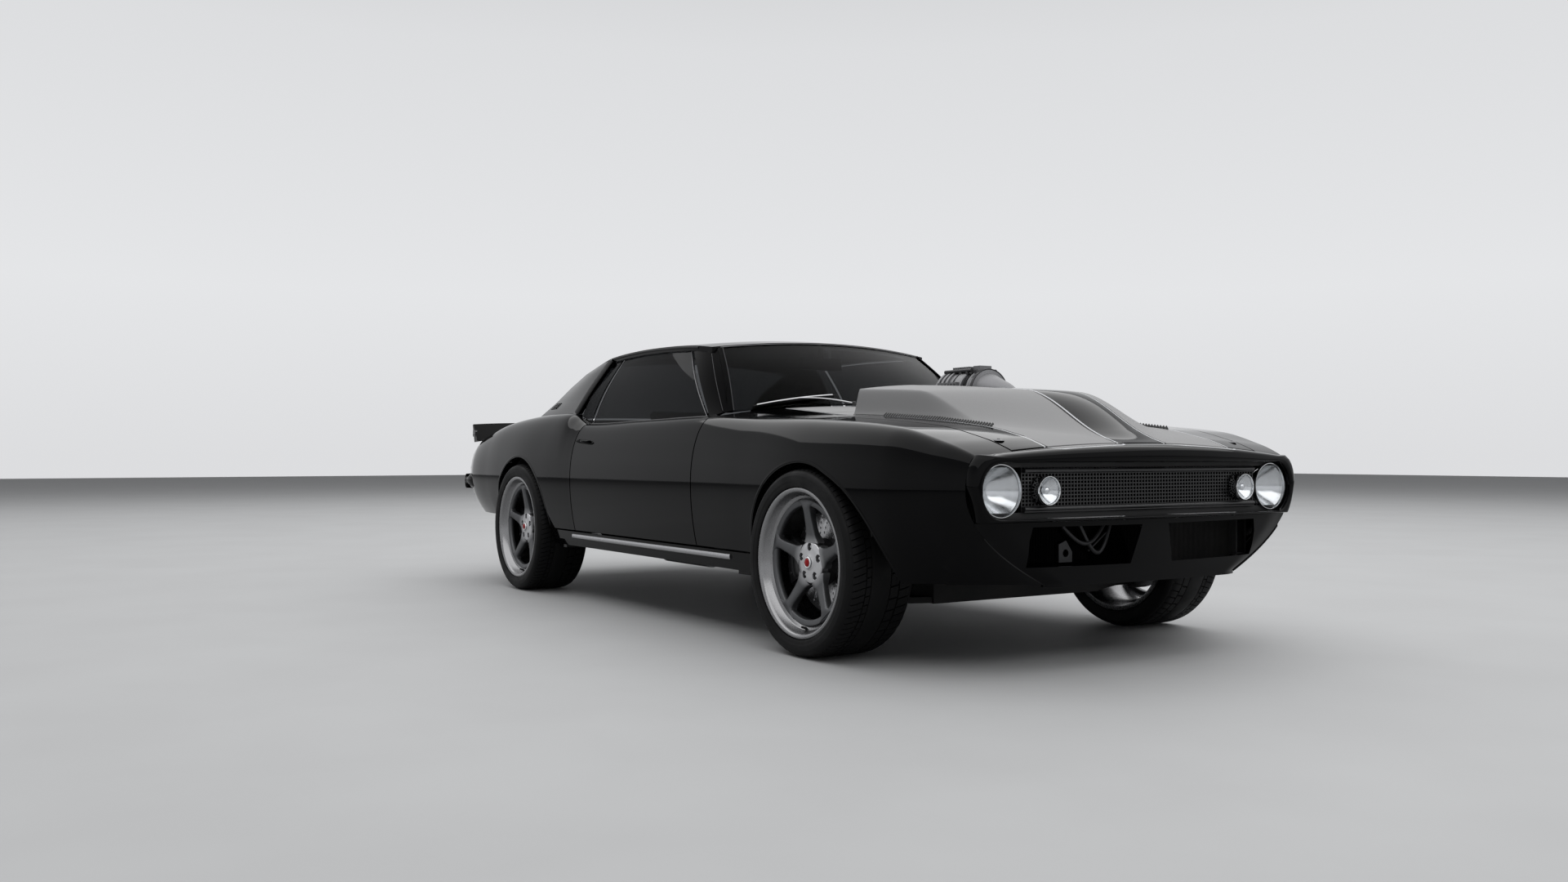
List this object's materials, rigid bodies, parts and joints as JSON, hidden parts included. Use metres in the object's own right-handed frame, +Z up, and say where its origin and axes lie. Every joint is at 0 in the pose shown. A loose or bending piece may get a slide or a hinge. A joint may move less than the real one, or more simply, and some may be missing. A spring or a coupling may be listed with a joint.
{
  "type": "two-door muscle car",
  "caption": "Low black two-door muscle car with striped raised hood scoop, exposed intake, opening doors, hood and deck lid, steered front wheels and turning wide wheels.",
  "frame": {"origin": "on the road under the middle of the car's overall length and width", "axes": "+X towards the nose, +Y towards the car's left, +Z up"},
  "size_m": [4.59, 1.8596, 1.2679],
  "materials": {
    "alloy": "cast and polished aluminium",
    "chassis_grey": "satin dark grey",
    "clear": "lightly tinted glass",
    "core": "fins",
    "gloss_black": "deep gloss black paint",
    "gunmetal": "satin gunmetal with polished lip",
    "lamp": "bright reflector under clear lens",
    "leather": "dark upholstery",
    "red_lens": "red lens",
    "satin_black": "satin black",
    "steel": "plain steel",
    "tint": "dark tinted glass",
    "trim_black": "matt black",
    "tyre_rubber": "matt black rubber"
  },
  "bodies": {
    "chassis": {"floor_pan": "chassis_grey", "front_subframe": "chassis_grey", "wheelhouses": "chassis_grey", "sills": "satin_black", "cowl": "gloss_black", "fender_left": "gloss_black", "fender_right": "gloss_black", "nose": "gloss_black", "valance": "satin_black", "grille": "trim_black", "front_lamps": "lamp", "radiator": "core", "engine": "steel", "intake": "alloy", "exhaust": "steel", "roof": "gloss_black", "a_pillars": "gloss_black", "c_pillars": "gloss_black", "windscreen": "clear", "rear_window": "tint", "quarter_glass": "tint", "quarter_left": "gloss_black", "quarter_right": "gloss_black", "tulip_panel": "gloss_black", "tail_panel": "gloss_black", "tail_lamps": "red_lens", "rear_bumper": "satin_black", "fuel_tank": "chassis_grey", "hinges": "chassis_grey", "seats": "leather", "dashboard": "trim_black", "steering_wheel": "trim_black", "wipers": "alloy", "mirror_inside": "trim_black", "front_arms": "chassis_grey", "rear_axle": "chassis_grey", "leaf_springs": "chassis_grey"},
    "door_left": {"door_left": "gloss_black", "door_glass_left": "tint"},
    "door_right": {"door_right": "gloss_black", "door_glass_right": "tint"},
    "hood": {"hood": "gloss_black"},
    "deck": {"deck_lid": "gloss_black", "spoiler": "gloss_black"},
    "knuckle_left": {"knuckle_left": "steel"},
    "knuckle_right": {"knuckle_right": "steel"},
    "wheel_front_left": {"tyre_front_left": "tyre_rubber", "wheel_front_left": "gunmetal"},
    "wheel_front_right": {"tyre_front_right": "tyre_rubber", "wheel_front_right": "gunmetal"},
    "wheel_rear_left": {"tyre_rear_left": "tyre_rubber", "wheel_rear_left": "gunmetal"},
    "wheel_rear_right": {"tyre_rear_right": "tyre_rubber", "wheel_rear_right": "gunmetal"}
  },
  "joints": [
    {"name": "door_left_open", "type": "hinge", "parent": "chassis", "child": "door_left", "pos_m": [0.58, 0.87, 0.59], "axis": [0, 0, -1], "range_deg": [0, 65]},
    {"name": "door_right_open", "type": "hinge", "parent": "chassis", "child": "door_right", "pos_m": [0.58, -0.87, 0.59], "axis": [0, 0, 1], "range_deg": [0, 65]},
    {"name": "hood_open", "type": "hinge", "parent": "chassis", "child": "hood", "pos_m": [0.995, 0, 0.83964], "axis": [0, -1, 0], "range_deg": [0, 55]},
    {"name": "deck_open", "type": "hinge", "parent": "chassis", "child": "deck", "pos_m": [-1.688, 0, 0.86489], "axis": [0, 1, 0], "range_deg": [0, 60]},
    {"name": "steer_left", "type": "hinge", "parent": "chassis", "child": "knuckle_left", "pos_m": [1.465, 0.743, 0.333], "axis": [0, 0, 1], "range_deg": [-32, 32]},
    {"name": "steer_right", "type": "hinge", "parent": "chassis", "child": "knuckle_right", "pos_m": [1.465, -0.743, 0.333], "axis": [0, 0, 1], "range_deg": [-32, 32]},
    {"name": "spin_front_left", "type": "hinge", "parent": "knuckle_left", "child": "wheel_front_left", "pos_m": [1.465, 0.7905, 0.333], "axis": [0, 1, 0], "continuous": true},
    {"name": "spin_front_right", "type": "hinge", "parent": "knuckle_right", "child": "wheel_front_right", "pos_m": [1.465, -0.7905, 0.333], "axis": [0, 1, 0], "continuous": true},
    {"name": "spin_rear_left", "type": "hinge", "parent": "chassis", "child": "wheel_rear_left", "pos_m": [-1.278, 0.7905, 0.333], "axis": [0, 1, 0], "continuous": true},
    {"name": "spin_rear_right", "type": "hinge", "parent": "chassis", "child": "wheel_rear_right", "pos_m": [-1.278, -0.7905, 0.333], "axis": [0, 1, 0], "continuous": true}
  ],
  "couplings": [
    {"joint": "steer_right", "follows": "steer_left", "ratio": 1}
  ]
}
